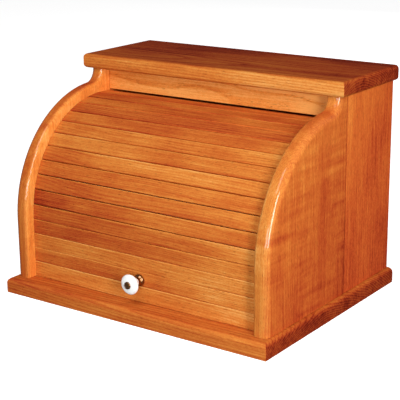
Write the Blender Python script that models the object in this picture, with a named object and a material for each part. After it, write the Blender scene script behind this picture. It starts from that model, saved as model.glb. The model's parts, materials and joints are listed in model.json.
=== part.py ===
"""Oak bread box with a roll-top (tambour) door.

The drawing below is in millimetres, measured from the plane of the side panels' front edges (y = 0), from the
middle of the box (x = 0) and from the underside of the base (z = 0). make_object() turns it into metres and
moves the origin to the middle of the base's underside. +X is the right side, +Z is up and the front faces -Y.
"""

import math

import bmesh
import bpy
from mathutils import Matrix, Vector

MM = 0.001
GAP = 0.3  # left between pieces that touch

# Carcass
BOARD = 19.0  # thickness of every carcass board
BASE_WIDTH = 386.0
BASE_FRONT = -13.0
BASE_BACK = 290.0
BASE_ROUND = 6.0
BOX_WIDTH = 372.0  # over the outer faces of the side panels
SIDE_BACK = 286.5
SIDE_TOP = 262.0
SIDE_ROUND_OUT = 8.5
SIDE_ROUND_IN = 4.0
SIDE_ARC_RADIUS = 152.5
SIDE_ARC_Z = 94.0
SHOULDER_Y = 138.5  # where the side's big front curve meets the small concave one
NECK_Y = 154.5  # the side's upright front edge below the top board
GLUE_LINE_Y = 171.0  # joint between the two boards of a side panel
TOP_FRONT = 149.0
TOP_ROUND = 5.0
RAIL_FRONT = 169.0
RAIL_THICK = 16.0
RAIL_BOTTOM = 234.0
PANEL_THICK = 3.2
PANEL_WIDTH = 366.0
PANEL_TOP = 275.0

# Tambour: slats hinged on a cloth back, on an upright leg and then an arc
SLATS = 17
TAIL_SLATS = 4  # the lowest slats, which stand on the upright leg when the door is closed
PITCH = 18.3
SLAT_THICK = 6.5
SLAT_SIDE_GAP = 0.5
ARC_Y = 149.9
ARC_Z = 96.8
HINGE_RADIUS = 129.8  # of the lines on the slats' backs where the cloth bends
ARC_START_DEG = -1.2  # the lowest of these lines that lies on the arc, from its frontmost point
TONGUE_IN = 0.3  # from a slat's back to its tongue
TONGUE_THICK = 4.0
TONGUE_LONG = 7.0
TONGUE_WIDE = 16.0
GROOVE_DEEP = 7.5
GROOVE_INNER = 129.0
GROOVE_OUTER = 134.5
GROOVE_END_DEG = 213.0
CANVAS_THICK = 0.6
CANVAS_WIDTH = 310.0

# Knob
KNOB_SLAT = 2
KNOB_DROP = 1.2  # below its slat's middle
KNOB_RADIUS = 12.2
KNOB_RIM = 18.6  # from the slat's face to the knob's widest ring
KNOB_FACE = 22.8
FERRULE_LONG = 8.0
HEAD_RADIUS = 4.6
BOLT_RADIUS = 2.0
BOLT_HOLE = 2.3
NUT_RADIUS = 4.0
NUT_THICK = 2.6
NUT_WINDOW = 5.5

# Fasteners
BASE_SCREW_Y = (40.0, 130.0, 245.0)
BASE_SCREW_LONG = 44.0
TOP_DOWEL_Y = (200.0, 262.0)
TOP_DOWEL_RADIUS = 4.0
TOP_DOWEL_LOW = 250.0
TOP_DOWEL_HIGH = 273.3
RAIL_DOWEL_Z = (240.0, 254.0)
RAIL_DOWEL_RADIUS = 3.0
RAIL_DOWEL_DEEP = 11.3
SIDE_SCREW_X = 179.0
SIDE_SCREW_Z = (60.0, 140.0, 220.0)
TOP_SCREW_X = 60.0
TOP_SCREW_Z = 269.0
BACK_SCREW_LONG = 14.0

# Worked out from the dimensions above
CENTRE_Y = (BASE_FRONT + BASE_BACK) / 2
SIDE_OUT = BOX_WIDTH / 2
SIDE_IN = SIDE_OUT - BOARD
SIDE_BOTTOM = BOARD + GAP
SIDE_MIDDLE = (SIDE_OUT + SIDE_IN) / 2
TOP_UNDER = SIDE_TOP + GAP
TOP_FACE = SIDE_TOP + BOARD
HINGE_FRONT_Y = ARC_Y - HINGE_RADIUS * math.cos(math.radians(ARC_START_DEG))
LEG_TOP = ARC_Z + HINGE_RADIUS * math.sin(math.radians(ARC_START_DEG))
FIRST_SLAT = LEG_TOP - (TAIL_SLATS - 1) * PITCH - SIDE_BOTTOM
SLAT_ANGLE = 2 * math.degrees(math.asin(PITCH / 2 / HINGE_RADIUS))
SLAT_HALF = SIDE_IN - SLAT_SIDE_GAP
KNOB_Z = SIDE_BOTTOM + FIRST_SLAT + (KNOB_SLAT - 1.5) * PITCH - KNOB_DROP
FACE_Y = HINGE_FRONT_Y - SLAT_THICK


def clear_scene():
    for old in list(bpy.data.objects):
        bpy.data.objects.remove(old, do_unlink=True)


def make_material(name, colour, roughness, metallic=0.0):
    material = bpy.data.materials.new(name)
    material.use_nodes = True
    shader = material.node_tree.nodes["Principled BSDF"]
    shader.inputs["Base Color"].default_value = (*colour, 1.0)
    shader.inputs["Roughness"].default_value = roughness
    shader.inputs["Metallic"].default_value = metallic
    return material


def to_world(x, y, z):
    """A point of the drawing in metres, in the part's own frame."""
    return Vector((x, y - CENTRE_Y, z)) * MM


def make_pivot(name, y, z, parent=None):
    """An empty on a joint's axis, which runs along X."""
    pivot = bpy.data.objects.new(name, None)
    bpy.context.collection.objects.link(pivot)
    spot = to_world(0, y, z)
    pivot["spot"] = tuple(spot)
    if parent:
        pivot.parent = parent
        spot = spot - Vector(parent["spot"])
    pivot.location = spot
    return pivot


def make_object(name, mesh, material, pivot=None, round_piece=False):
    """Turns a bmesh drawn in millimetres into the named object, hung on its pivot if it has one."""
    spot = Vector(pivot["spot"]) if pivot else Vector((0, 0, 0))
    bmesh.ops.recalc_face_normals(mesh, faces=mesh.faces)
    for vertex in mesh.verts:
        vertex.co = to_world(*vertex.co) - spot
    data = bpy.data.meshes.new(name)
    mesh.to_mesh(data)
    mesh.free()
    if round_piece:
        data.shade_smooth()
        data.set_sharp_from_angle(angle=math.radians(35))
    data.materials.append(material)
    piece = bpy.data.objects.new(name, data)
    piece.parent = pivot
    bpy.context.collection.objects.link(piece)
    return piece


def prism(outline, along, low, high):
    """Extrudes an outline in the two other axes from low to high along one axis (0 is x, 1 is y, 2 is z)."""
    mesh = bmesh.new()
    rings = []
    for level in (low, high):
        ring = []
        for a, b in outline:
            point = [a, b]
            point.insert(along, level)
            ring.append(mesh.verts.new(point))
        rings.append(ring)
    mesh.faces.new(rings[0])
    mesh.faces.new(rings[1])
    for i in range(len(outline)):
        j = (i + 1) % len(outline)
        mesh.faces.new((rings[0][i], rings[0][j], rings[1][j], rings[1][i]))
    return mesh


def box(low, high):
    outline = [(low[0], low[1]), (high[0], low[1]), (high[0], high[1]), (low[0], high[1])]
    return prism(outline, 2, low[2], high[2])


def turned(profile, base, axis, sides):
    """Turns a profile of (distance along the axis, radius) round the line from base along axis."""
    axis = Vector(axis).normalized()
    across = axis.orthogonal().normalized()
    mesh = bmesh.new()
    rings = []
    for along, radius in profile:
        centre = Vector(base) + axis * along
        if radius == 0:
            rings.append([mesh.verts.new(centre)])
            continue
        ring = []
        for i in range(sides):
            turn = Matrix.Rotation(2 * math.pi * i / sides, 3, axis)
            ring.append(mesh.verts.new(centre + turn @ across * radius))
        rings.append(ring)
    for first, second in zip(rings, rings[1:]):
        for i in range(sides):
            j = (i + 1) % sides
            corners = [first[i % len(first)], first[j % len(first)]]
            corners += [second[j % len(second)], second[i % len(second)]]
            mesh.faces.new(list(dict.fromkeys(corners)))
    for ring in (rings[0], rings[-1]):
        if len(ring) > 1:
            mesh.faces.new(ring)
    return mesh


def tube(profile, bore, base, axis, sides):
    """As turned(), with a straight bore of the given radius through it."""
    first, last = profile[0][0], profile[-1][0]
    loop = [(first, bore)] + profile + [(last, bore)]
    axis = Vector(axis).normalized()
    across = axis.orthogonal().normalized()
    mesh = bmesh.new()
    rings = []
    for along, radius in loop:
        centre = Vector(base) + axis * along
        ring = []
        for i in range(sides):
            turn = Matrix.Rotation(2 * math.pi * i / sides, 3, axis)
            ring.append(mesh.verts.new(centre + turn @ across * radius))
        rings.append(ring)
    for k, first_ring in enumerate(rings):
        second_ring = rings[(k + 1) % len(rings)]
        for i in range(sides):
            j = (i + 1) % sides
            mesh.faces.new((first_ring[i], first_ring[j], second_ring[j], second_ring[i]))
    return mesh


def round_edges(mesh, chosen, radius, segments=2):
    """Rounds the edges for which chosen(first point, second point) is true."""
    bmesh.ops.recalc_face_normals(mesh, faces=mesh.faces)
    edges = [edge for edge in mesh.edges if chosen(edge.verts[0].co, edge.verts[1].co)]
    bmesh.ops.bevel(
        mesh, geom=edges, offset=radius, segments=segments, profile=0.5, affect="EDGES", clamp_overlap=True
    )
    return mesh


def joined(meshes):
    """One bmesh that holds several closed shapes, to be used as a cutter."""
    whole = bmesh.new()
    for mesh in meshes:
        data = bpy.data.meshes.new("cutter_part")
        mesh.to_mesh(data)
        mesh.free()
        whole.from_mesh(data)
        bpy.data.meshes.remove(data)
    return whole


def cut(piece, meshes):
    """Cuts the shapes from a piece with a Boolean whose cutter stays in the scene, hidden from renders."""
    cutter = make_object(piece.name + ".cutter", joined(meshes), piece.data.materials[0])
    cutter.parent = piece.parent
    cutter.location = -Vector(piece.parent["spot"]) if piece.parent else (0, 0, 0)
    cutter.hide_render = True
    cutter.display_type = "WIRE"
    boolean = piece.modifiers.new("cut", "BOOLEAN")
    boolean.operation = "DIFFERENCE"
    boolean.solver = "EXACT"
    boolean.object = cutter


def on_arc(centre_y, centre_z, radius, degrees):
    """A point (y, z) on a circle; 0 degrees is the front and 90 degrees the top."""
    angle = math.radians(degrees)
    return centre_y - radius * math.cos(angle), centre_z + radius * math.sin(angle)


def arc_points(centre_y, centre_z, radius, start, end, steps):
    turn = (end - start) / steps
    return [on_arc(centre_y, centre_z, radius, start + turn * i) for i in range(steps + 1)]


def bore(x, y, z, axis, radius, length, sides=12):
    return turned([(0, radius), (length, radius)], (x, y, z), axis, sides)


def countersink(x, y, z, axis, head, shank, depth):
    """The hole for a flat-headed screw, from just outside the surface."""
    profile = [(-1.0, head), (0.5, head), (0.5 + head - shank, shank), (depth, shank)]
    return turned(profile, (x, y, z), axis, 12)


def flat_head_screw(x, y, z, axis, head, shank, length):
    """A wood screw whose flat head lies at the start of the axis."""
    point = 2 * shank
    profile = [(0.0, head), (head - shank, shank), (length - point, shank), (length, 0.4)]
    return turned(profile, (x, y, z), axis, 12)


def make_base(wood):
    half = BASE_WIDTH / 2

    def upper_edge(a, b):
        on_top = a.z > BOARD - 0.01 and b.z > BOARD - 0.01
        return on_top and not (a.y > BASE_BACK - 0.01 and b.y > BASE_BACK - 0.01)

    mesh = box((-half, BASE_FRONT, 0), (half, BASE_BACK, BOARD))
    base = make_object("base_board", round_edges(mesh, upper_edge, BASE_ROUND, 3), wood, round_piece=True)
    holes = []
    for x in (-SIDE_MIDDLE, SIDE_MIDDLE):
        for y in BASE_SCREW_Y:
            holes.append(countersink(x, y, 0, (0, 0, 1), 4.4, 2.3, BOARD + 1))
    cut(base, holes)


def side_front_outline():
    """The front board's outline (y, z): up the big curve, round the concave shoulder and down the glue line."""
    end = math.degrees(math.acos((SIDE_ARC_RADIUS - SHOULDER_Y) / SIDE_ARC_RADIUS))
    points = [(0.0, SIDE_BOTTOM)]
    points += arc_points(SIDE_ARC_RADIUS, SIDE_ARC_Z, SIDE_ARC_RADIUS, 0, end, 20)
    shoulder_z = points[-1][1]
    small = NECK_Y - SHOULDER_Y
    for i in range(1, 6):
        angle = math.radians(90 * i / 5)
        points.append((SHOULDER_Y + small * math.sin(angle), shoulder_z + small * (1 - math.cos(angle))))
    points.append((NECK_Y, SIDE_TOP))
    front_edge = list(points)
    points += [(GLUE_LINE_Y, SIDE_TOP), (GLUE_LINE_Y, SIDE_BOTTOM)]
    return points, front_edge


def groove(sign):
    """The shape of the tambour's track in one side panel: the upright leg and the arc behind it."""
    steps = int(GROOVE_END_DEG / 4.5)
    outer = arc_points(ARC_Y, ARC_Z, GROOVE_OUTER, 0, GROOVE_END_DEG, steps)
    inner = arc_points(ARC_Y, ARC_Z, GROOVE_INNER, 0, GROOVE_END_DEG, steps)
    below = BOARD - 2
    outline = [(outer[0][0], below)] + outer + inner[::-1] + [(inner[0][0], below)]
    near, far = sign * (SIDE_IN - 2), sign * (SIDE_IN + GROOVE_DEEP)
    return prism(outline, 0, near, far)


def make_side(name, sign, wood):
    """One side panel as its front and rear boards, with the groove and the screw and dowel holes."""
    outline, front_edge = side_front_outline()
    mesh = prism(outline, 0, sign * SIDE_IN, sign * SIDE_OUT)

    def near_front(point):
        return any(abs(point.y - y) < 0.01 and abs(point.z - z) < 0.01 for y, z in front_edge)

    def outer_edge(a, b):
        level = abs(a.x - b.x) < 0.01 and abs(abs(a.x) - SIDE_OUT) < 0.01
        return level and near_front(a) and near_front(b)

    def inner_edge(a, b):
        level = abs(a.x - b.x) < 0.01 and abs(abs(a.x) - SIDE_IN) < 0.01
        return level and near_front(a) and near_front(b)

    round_edges(mesh, outer_edge, SIDE_ROUND_OUT)
    round_edges(mesh, inner_edge, SIDE_ROUND_IN)
    front = make_object(f"side_{name}_front_board", mesh, wood, round_piece=True)
    rear_mesh = box(
        (min(sign * SIDE_IN, sign * SIDE_OUT), GLUE_LINE_Y + GAP, SIDE_BOTTOM),
        (max(sign * SIDE_IN, sign * SIDE_OUT), SIDE_BACK, SIDE_TOP),
    )
    rear = make_object(f"side_{name}_rear_board", rear_mesh, wood)
    x = sign * SIDE_MIDDLE
    screw_top = BASE_SCREW_LONG + 1
    front_holes = [bore(x, y, BOARD - 1, (0, 0, 1), 2.3, screw_top - BOARD + 1) for y in BASE_SCREW_Y[:2]]
    cut(front, [groove(sign)] + front_holes)
    rear_holes = [bore(x, BASE_SCREW_Y[2], BOARD - 1, (0, 0, 1), 2.3, screw_top - BOARD + 1)]
    for y in TOP_DOWEL_Y:
        rear_holes.append(bore(x, y, TOP_DOWEL_LOW, (0, 0, 1), TOP_DOWEL_RADIUS + GAP, 20))
    for z in RAIL_DOWEL_Z:
        rear_holes.append(
            bore(
                sign * (SIDE_IN - 1),
                RAIL_FRONT + RAIL_THICK / 2,
                z,
                (sign, 0, 0),
                RAIL_DOWEL_RADIUS + GAP,
                RAIL_DOWEL_DEEP + 1,
            )
        )
    for z in SIDE_SCREW_Z:
        rear_holes.append(bore(sign * SIDE_SCREW_X, SIDE_BACK + 1, z, (0, -1, 0), 1.7, BACK_SCREW_LONG - 1))
    cut(rear, [groove(sign)] + rear_holes)


def make_top(wood):
    half = BASE_WIDTH / 2

    def shown_edge(a, b):
        level = abs(a.z - b.z) < 0.01
        return level and not (a.y > SIDE_BACK - 0.01 and b.y > SIDE_BACK - 0.01)

    mesh = box((-half, TOP_FRONT, TOP_UNDER), (half, SIDE_BACK, TOP_FACE))
    top = make_object("top_board", round_edges(mesh, shown_edge, TOP_ROUND, 2), wood, round_piece=True)
    holes = []
    for sign in (-1, 1):
        for y in TOP_DOWEL_Y:
            start = TOP_UNDER - 1
            holes.append(
                bore(sign * SIDE_MIDDLE, y, start, (0, 0, 1), TOP_DOWEL_RADIUS + GAP, TOP_DOWEL_HIGH - start)
            )
        holes.append(bore(sign * TOP_SCREW_X, SIDE_BACK + 1, TOP_SCREW_Z, (0, -1, 0), 1.7, BACK_SCREW_LONG - 1))
    cut(top, holes)


def make_rail(wood):
    half = SIDE_IN - GAP
    rail = make_object(
        "front_rail",
        box((-half, RAIL_FRONT, RAIL_BOTTOM), (half, RAIL_FRONT + RAIL_THICK, SIDE_TOP)),
        wood,
    )
    holes = []
    for sign in (-1, 1):
        for z in RAIL_DOWEL_Z:
            middle = RAIL_FRONT + RAIL_THICK / 2
            holes.append(
                bore(
                    sign * (half + 1), middle, z, (-sign, 0, 0), RAIL_DOWEL_RADIUS + GAP, RAIL_DOWEL_DEEP + 1
                )
            )
    cut(rail, holes)


def back_screw_places():
    places = [(sign * SIDE_SCREW_X, z) for sign in (-1, 1) for z in SIDE_SCREW_Z]
    return places + [(sign * TOP_SCREW_X, TOP_SCREW_Z) for sign in (-1, 1)]


def make_back(wood):
    front = SIDE_BACK + GAP
    panel = make_object(
        "back_panel",
        box((-PANEL_WIDTH / 2, front, SIDE_BOTTOM), (PANEL_WIDTH / 2, front + PANEL_THICK, PANEL_TOP)),
        wood,
    )
    back = front + PANEL_THICK
    cut(panel, [countersink(x, back, z, (0, -1, 0), 3.1, 1.7, 5.0) for x, z in back_screw_places()])


def make_fasteners(steel, wood):
    """Screws through the base and the back panel, and the dowels of the top board and the rail."""
    number = 0
    for x in (-SIDE_MIDDLE, SIDE_MIDDLE):
        for y in BASE_SCREW_Y:
            number += 1
            mesh = flat_head_screw(x, y, 0.5, (0, 0, 1), 4.0, 2.0, BASE_SCREW_LONG - 0.5)
            make_object(f"base_screw_{number}", mesh, steel, round_piece=True)
    back = SIDE_BACK + GAP + PANEL_THICK - 0.3
    for number, (x, z) in enumerate(back_screw_places(), 1):
        mesh = flat_head_screw(x, back, z, (0, -1, 0), 2.7, 1.4, BACK_SCREW_LONG)
        make_object(f"back_screw_{number}", mesh, steel, round_piece=True)
    number = 0
    for sign in (-1, 1):
        for y in TOP_DOWEL_Y:
            number += 1
            low = TOP_DOWEL_LOW + GAP
            mesh = bore(sign * SIDE_MIDDLE, y, low, (0, 0, 1), TOP_DOWEL_RADIUS, TOP_DOWEL_HIGH - GAP - low)
            make_object(f"top_dowel_{number}", mesh, wood, round_piece=True)
    number = 0
    half_long = RAIL_DOWEL_DEEP - GAP
    for sign in (-1, 1):
        for z in RAIL_DOWEL_Z:
            number += 1
            start = sign * (SIDE_IN - half_long)
            mesh = bore(
                start, RAIL_FRONT + RAIL_THICK / 2, z, (sign, 0, 0), RAIL_DOWEL_RADIUS, 2 * half_long
            )
            make_object(f"rail_dowel_{number}", mesh, wood, round_piece=True)


def slat_frame(number):
    """(middle of the slat's back as (y, z), its upward direction, its outward direction, its width)."""
    if number <= TAIL_SLATS:
        width = FIRST_SLAT if number == 1 else PITCH
        high = SIDE_BOTTOM + FIRST_SLAT + (number - 1) * PITCH
        return (HINGE_FRONT_Y, high - width / 2), (0.0, 1.0), (-1.0, 0.0), width
    start = ARC_START_DEG + (number - TAIL_SLATS - 1) * SLAT_ANGLE
    low = on_arc(ARC_Y, ARC_Z, HINGE_RADIUS, start)
    high = on_arc(ARC_Y, ARC_Z, HINGE_RADIUS, start + SLAT_ANGLE)
    middle = ((low[0] + high[0]) / 2, (low[1] + high[1]) / 2)
    upward = ((high[0] - low[0]) / PITCH, (high[1] - low[1]) / PITCH)
    return middle, upward, (-upward[1], upward[0]), PITCH


def lay_on_track(mesh, frame):
    """Moves a mesh drawn with y as the distance outward and z as the distance upward onto the track."""
    middle, upward, outward, _ = frame
    for vertex in mesh.verts:
        out, up = vertex.co.y, vertex.co.z
        vertex.co.y = middle[0] + out * outward[0] + up * upward[0]
        vertex.co.z = middle[1] + out * outward[1] + up * upward[1]
    return mesh


def plain_slat(frame):
    half = frame[3] / 2 - GAP / 2
    return lay_on_track(box((-SLAT_HALF, 0, -half), (SLAT_HALF, SLAT_THICK, half)), frame)


def tongued_slat(frame):
    """A flat slat with a thin, narrower tongue at each end, which runs in the groove."""
    half = frame[3] / 2 - GAP / 2
    near, far = TONGUE_IN, TONGUE_IN + TONGUE_THICK
    reach = SLAT_HALF + TONGUE_LONG
    plan = [(-reach, near), (-SLAT_HALF, near), (-SLAT_HALF, 0), (SLAT_HALF, 0), (SLAT_HALF, near)]
    plan += [(reach, near), (reach, far), (SLAT_HALF, far), (SLAT_HALF, SLAT_THICK)]
    plan += [(-SLAT_HALF, SLAT_THICK), (-SLAT_HALF, far), (-reach, far)]
    mesh = prism(plan, 2, -half, half)
    for vertex in mesh.verts:
        if abs(vertex.co.x) > SLAT_HALF + GAP:
            vertex.co.z = math.copysign(TONGUE_WIDE / 2, vertex.co.z)
    return lay_on_track(mesh, frame)


def make_slat(number, pivot, wood):
    frame = slat_frame(number)
    mesh = plain_slat(frame) if number <= TAIL_SLATS else tongued_slat(frame)
    slat = make_object(f"tambour_slat_{number:02d}", mesh, wood, pivot)
    if number == KNOB_SLAT:
        cut(slat, [bore(0, FACE_Y - 1, KNOB_Z, (0, 1, 0), BOLT_HOLE, SLAT_THICK + 2)])


def make_canvas(pivots, cloth):
    """The cloth on the slats' backs: one strip on the arc and a patch on each of the lowest slats."""
    near, far = -GAP, -GAP - CANVAS_THICK
    half = CANVAS_WIDTH / 2
    count = SLATS - TAIL_SLATS
    scale = math.cos(math.radians(SLAT_ANGLE / 2))
    faces = []
    for depth in (near, far):
        radius = HINGE_RADIUS + depth / scale
        end = ARC_START_DEG + count * SLAT_ANGLE
        faces.append(arc_points(ARC_Y, ARC_Z, radius, ARC_START_DEG, end, count))
    strip = prism(faces[0] + faces[1][::-1], 0, -half, half)
    make_object("canvas_arc", strip, cloth, pivots[0])
    for number in range(TAIL_SLATS, 0, -1):
        frame = slat_frame(number)
        edge = frame[3] / 2 - GAP
        patch = lay_on_track(box((-half, far, -edge), (half, near, edge)), frame)
        piece = make_object(f"canvas_{number:02d}", patch, cloth, pivots[TAIL_SLATS + 1 - number])
        if number == KNOB_SLAT:
            cut(piece, [bore(0, HINGE_FRONT_Y - 1, KNOB_Z, (0, 1, 0), NUT_WINDOW, 4, 16)])


def make_knob(pivot, porcelain, brass):
    """The turned porcelain knob on its brass collar, held by a bolt through the slat with a nut behind."""
    face = (0, FACE_Y, KNOB_Z)
    outward = (0, -1, 0)
    ferrule = [(GAP, 7.3), (2.5, 7.2), (4.8, 5.6), (FERRULE_LONG, 5.2)]
    make_object("knob_ferrule", tube(ferrule, BOLT_HOLE, face, outward, 20), brass, pivot, True)
    body = [(FERRULE_LONG + GAP, 5.4), (11.0, 5.8), (14.0, 8.0), (16.6, 11.1), (KNOB_RIM, KNOB_RADIUS)]
    body += [(20.2, 11.9), (21.7, 9.9), (KNOB_FACE - 0.3, 6.9), (KNOB_FACE, 5.0)]
    make_object("knob_ceramic", tube(body, BOLT_HOLE, face, outward, 24), porcelain, pivot, True)
    head = KNOB_FACE + GAP
    tail = -(SLAT_THICK + GAP + NUT_THICK + 0.8)
    bolt = [(tail, BOLT_RADIUS), (head, BOLT_RADIUS), (head, HEAD_RADIUS), (head + 0.7, 4.4)]
    bolt += [(head + 1.6, 2.8), (head + 2.1, 0.0)]
    make_object("knob_screw", turned(bolt, face, outward, 16), brass, pivot, True)
    nut_start = (0, HINGE_FRONT_Y + GAP, KNOB_Z)
    nut = [(0.0, NUT_RADIUS), (NUT_THICK, NUT_RADIUS)]
    make_object("knob_nut", tube(nut, BOLT_HOLE, nut_start, (0, 1, 0), 6), brass, pivot)


def make_pivots():
    """The door's main axis, then the axes where slats 4, 3, 2 and 1 fold, each hung on the one before."""
    pivots = [make_pivot("tambour_axis", ARC_Y, ARC_Z)]
    for number in range(TAIL_SLATS, 0, -1):
        z = SIDE_BOTTOM + FIRST_SLAT + (number - 1) * PITCH
        pivots.append(make_pivot(f"fold_{number}_axis", HINGE_FRONT_Y, z, pivots[-1]))
    return pivots


def main():
    clear_scene()
    oak = make_material("oak", (0.56, 0.22, 0.06), 0.38)
    slat_oak = make_material("slat_oak", (0.60, 0.24, 0.07), 0.4)
    dowel_wood = make_material("dowel_wood", (0.72, 0.55, 0.34), 0.6)
    panel_wood = make_material("panel_wood", (0.50, 0.24, 0.09), 0.5)
    cloth = make_material("canvas", (0.62, 0.56, 0.44), 0.9)
    porcelain = make_material("porcelain", (0.93, 0.93, 0.90), 0.12)
    brass = make_material("brass", (0.80, 0.55, 0.22), 0.25, 1.0)
    steel = make_material("zinc_steel", (0.62, 0.60, 0.56), 0.35, 1.0)

    make_base(oak)
    for name, sign in (("left", -1), ("right", 1)):
        make_side(name, sign, oak)
    make_top(oak)
    make_rail(oak)
    make_back(panel_wood)
    make_fasteners(steel, dowel_wood)

    pivots = make_pivots()
    for number in range(SLATS, 0, -1):
        pivot = pivots[max(0, TAIL_SLATS + 1 - number)]
        make_slat(number, pivot, slat_oak)
    make_canvas(pivots, cloth)
    make_knob(pivots[TAIL_SLATS + 1 - KNOB_SLAT], porcelain, brass)


main()
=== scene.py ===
"""Looks of the oak bread box: finely rounded boards and slats, with porcelain, brass and cloth.

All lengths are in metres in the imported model's frame: +X to the box's right, the front towards -Y, +Z up.
"""

import json
import math
import random

import bmesh
import bpy
from mathutils import Matrix, Vector


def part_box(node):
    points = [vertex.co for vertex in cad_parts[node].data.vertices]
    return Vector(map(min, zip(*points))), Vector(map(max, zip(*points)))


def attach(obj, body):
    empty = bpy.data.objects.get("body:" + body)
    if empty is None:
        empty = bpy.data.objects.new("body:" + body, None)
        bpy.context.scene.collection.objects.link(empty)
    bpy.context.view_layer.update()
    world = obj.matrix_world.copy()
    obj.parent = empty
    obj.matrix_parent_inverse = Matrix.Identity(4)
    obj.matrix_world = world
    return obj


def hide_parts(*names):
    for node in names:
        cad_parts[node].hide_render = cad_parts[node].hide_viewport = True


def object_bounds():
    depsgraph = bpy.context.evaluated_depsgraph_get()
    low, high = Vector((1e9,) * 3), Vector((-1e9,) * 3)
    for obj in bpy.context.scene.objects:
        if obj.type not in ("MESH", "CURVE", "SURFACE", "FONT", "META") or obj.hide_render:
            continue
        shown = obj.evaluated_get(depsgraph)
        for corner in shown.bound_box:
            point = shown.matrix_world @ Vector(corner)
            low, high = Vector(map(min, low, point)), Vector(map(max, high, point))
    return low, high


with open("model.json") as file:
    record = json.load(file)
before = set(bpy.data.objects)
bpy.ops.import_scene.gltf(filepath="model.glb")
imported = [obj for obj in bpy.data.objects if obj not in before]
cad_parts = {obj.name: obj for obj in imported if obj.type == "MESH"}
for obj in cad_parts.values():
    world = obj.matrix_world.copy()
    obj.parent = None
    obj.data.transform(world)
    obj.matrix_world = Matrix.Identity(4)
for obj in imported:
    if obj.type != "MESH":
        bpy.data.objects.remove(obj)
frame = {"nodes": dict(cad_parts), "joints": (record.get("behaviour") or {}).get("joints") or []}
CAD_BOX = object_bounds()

# Edges and outlines that the CAD boxes do not give
SIDE_ARC_RADIUS = 0.1525
SIDE_ARC_Z = 0.094
SIDE_ARC_STEPS = 56
SHOULDER_DEEP = 0.1385  # from the sides' front plane back to the concave curve
NECK_DEEP = 0.1545  # and to the upright edge below the top board
SHOULDER_STEPS = 14
SIDE_ROUND_OUT = 0.0088
SIDE_ROUND_IN = 0.0042
BASE_ROUND = 0.0062
TOP_ROUND = 0.0048
EASED = 0.0007  # the softened edge of a sanded board
GROOVE_INNER = 0.129
GROOVE_OUTER = 0.1345
GROOVE_END_DEG = 213.0
GROOVE_DEEP = 0.0075
GROOVE_STEPS = 120
ARC_START_DEG = -1.2
SLAT_ROUND = 0.00075
SLAT_EDGE = 0.0012  # how far the seam's tone runs on past the rounding
SLAT_GAP = 0.00015  # half the gap between two slats that lie flat
TONGUE_LONG = 0.007
TONGUE_ROOT = 0.004  # how far its solid starts inside the slat
TONGUE_IN = 0.0003
TONGUE_THICK = 0.004
TONGUE_HALF = 0.008
CANVAS_THICK = 0.0006
CANVAS_GAP = 0.0003
KNOB_SLAT = 2

# Holes for the fasteners
BITE = 0.001  # how far outside the wood a cutter starts
CLEARANCE = 0.0003  # between a dowel's end and the end of its hole
BOLT_HOLE = 0.0023
NUT_WINDOW = 0.0055
BASE_SCREW_HOLE = 0.0023
BASE_SCREW_SEAT = 0.0045  # radius of the countersink
BASE_PILOT_DEEP = 0.0267
BACK_SCREW_HOLE = 0.0017
BACK_SCREW_SEAT = 0.0031
BACK_PILOT_DEEP = 0.014
TOP_BACK_SCREWS = 2  # the last back screws, which enter the top board
TOP_DOWEL_RADIUS = 0.004
TOP_DOWEL_HOLE = 0.0043
RAIL_DOWEL_RADIUS = 0.003
RAIL_DOWEL_HOLE = 0.0033
DOWEL_HOLE_DEEP = 0.02
FLUTE_DEEP = 0.06  # part of a dowel's radius
DOWELS = range(1, 5)

TINY = 1e-5
DARKEST = 0.81  # tone of the deepest stain
SEAM_PAINTED_HIGHLIGHT = -0.22  # a painted highlight, added to the tone of a slat's upper long edge
SEAM_PAINTED_LIGHT = 1.22  # painted light: how much paler the narrow faces inside a seam, which lie in shade, are made

BOX_MIDDLE = (Vector(CAD_BOX[0]) + Vector(CAD_BOX[1])) / 2
X_AXIS = Vector((1, 0, 0))
Y_AXIS = Vector((0, 1, 0))
Z_AXIS = Vector((0, 0, 1))

JOINTS = {joint["name"]: joint for joint in frame["joints"]}
ARC = Vector(JOINTS["tambour_roll"]["pos_m"])
TAIL_HINGES = [Vector(JOINTS[f"fold_{number}"]["pos_m"]) for number in (1, 2, 3, 4)]
HINGE_RADIUS = (TAIL_HINGES[3] - ARC).length
PITCH = TAIL_HINGES[3].z - TAIL_HINGES[2].z
SLAT_ANGLE = 2 * math.degrees(math.asin(PITCH / 2 / HINGE_RADIUS))
SLATS = sum(name.startswith("tambour_slat") for name in frame["nodes"])
TAIL = len(TAIL_HINGES)


# ---------------------------------------------------------------- mesh tools


def prism(outline, along, low, high):
    """Extrudes an outline from low to high along one axis: 0 is x, 1 is y and 2 is z."""
    mesh = bmesh.new()
    rings = []
    for level in (low, high):
        ring = []
        for a, b in outline:
            point = [a, b]
            point.insert(along, level)
            ring.append(mesh.verts.new(point))
        rings.append(ring)
    mesh.faces.new(rings[0])
    mesh.faces.new(rings[1])
    for i in range(len(outline)):
        j = (i + 1) % len(outline)
        mesh.faces.new((rings[0][i], rings[0][j], rings[1][j], rings[1][i]))
    bmesh.ops.recalc_face_normals(mesh, faces=mesh.faces)
    return mesh


def block(low, high):
    outline = [(low[0], low[1]), (high[0], low[1]), (high[0], high[1]), (low[0], high[1])]
    return prism(outline, 2, low[2], high[2])


def round_edges(mesh, chosen, radius, segments=6):
    """Rounds the edges for which chosen(first point, second point) is true."""
    edges = [edge for edge in mesh.edges if chosen(edge.verts[0].co, edge.verts[1].co)]
    bmesh.ops.bevel(mesh, geom=edges, offset=radius, segments=segments, profile=0.5, affect="EDGES")
    return mesh


def ease_edges(mesh, radius=EASED, segments=3):
    """Softens every edge that is still sharp."""
    edges = [edge for edge in mesh.edges if edge.is_manifold and edge.calc_face_angle() > math.radians(40)]
    bmesh.ops.bevel(mesh, geom=edges, offset=radius, segments=segments, profile=0.5, affect="EDGES")
    return mesh


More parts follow.
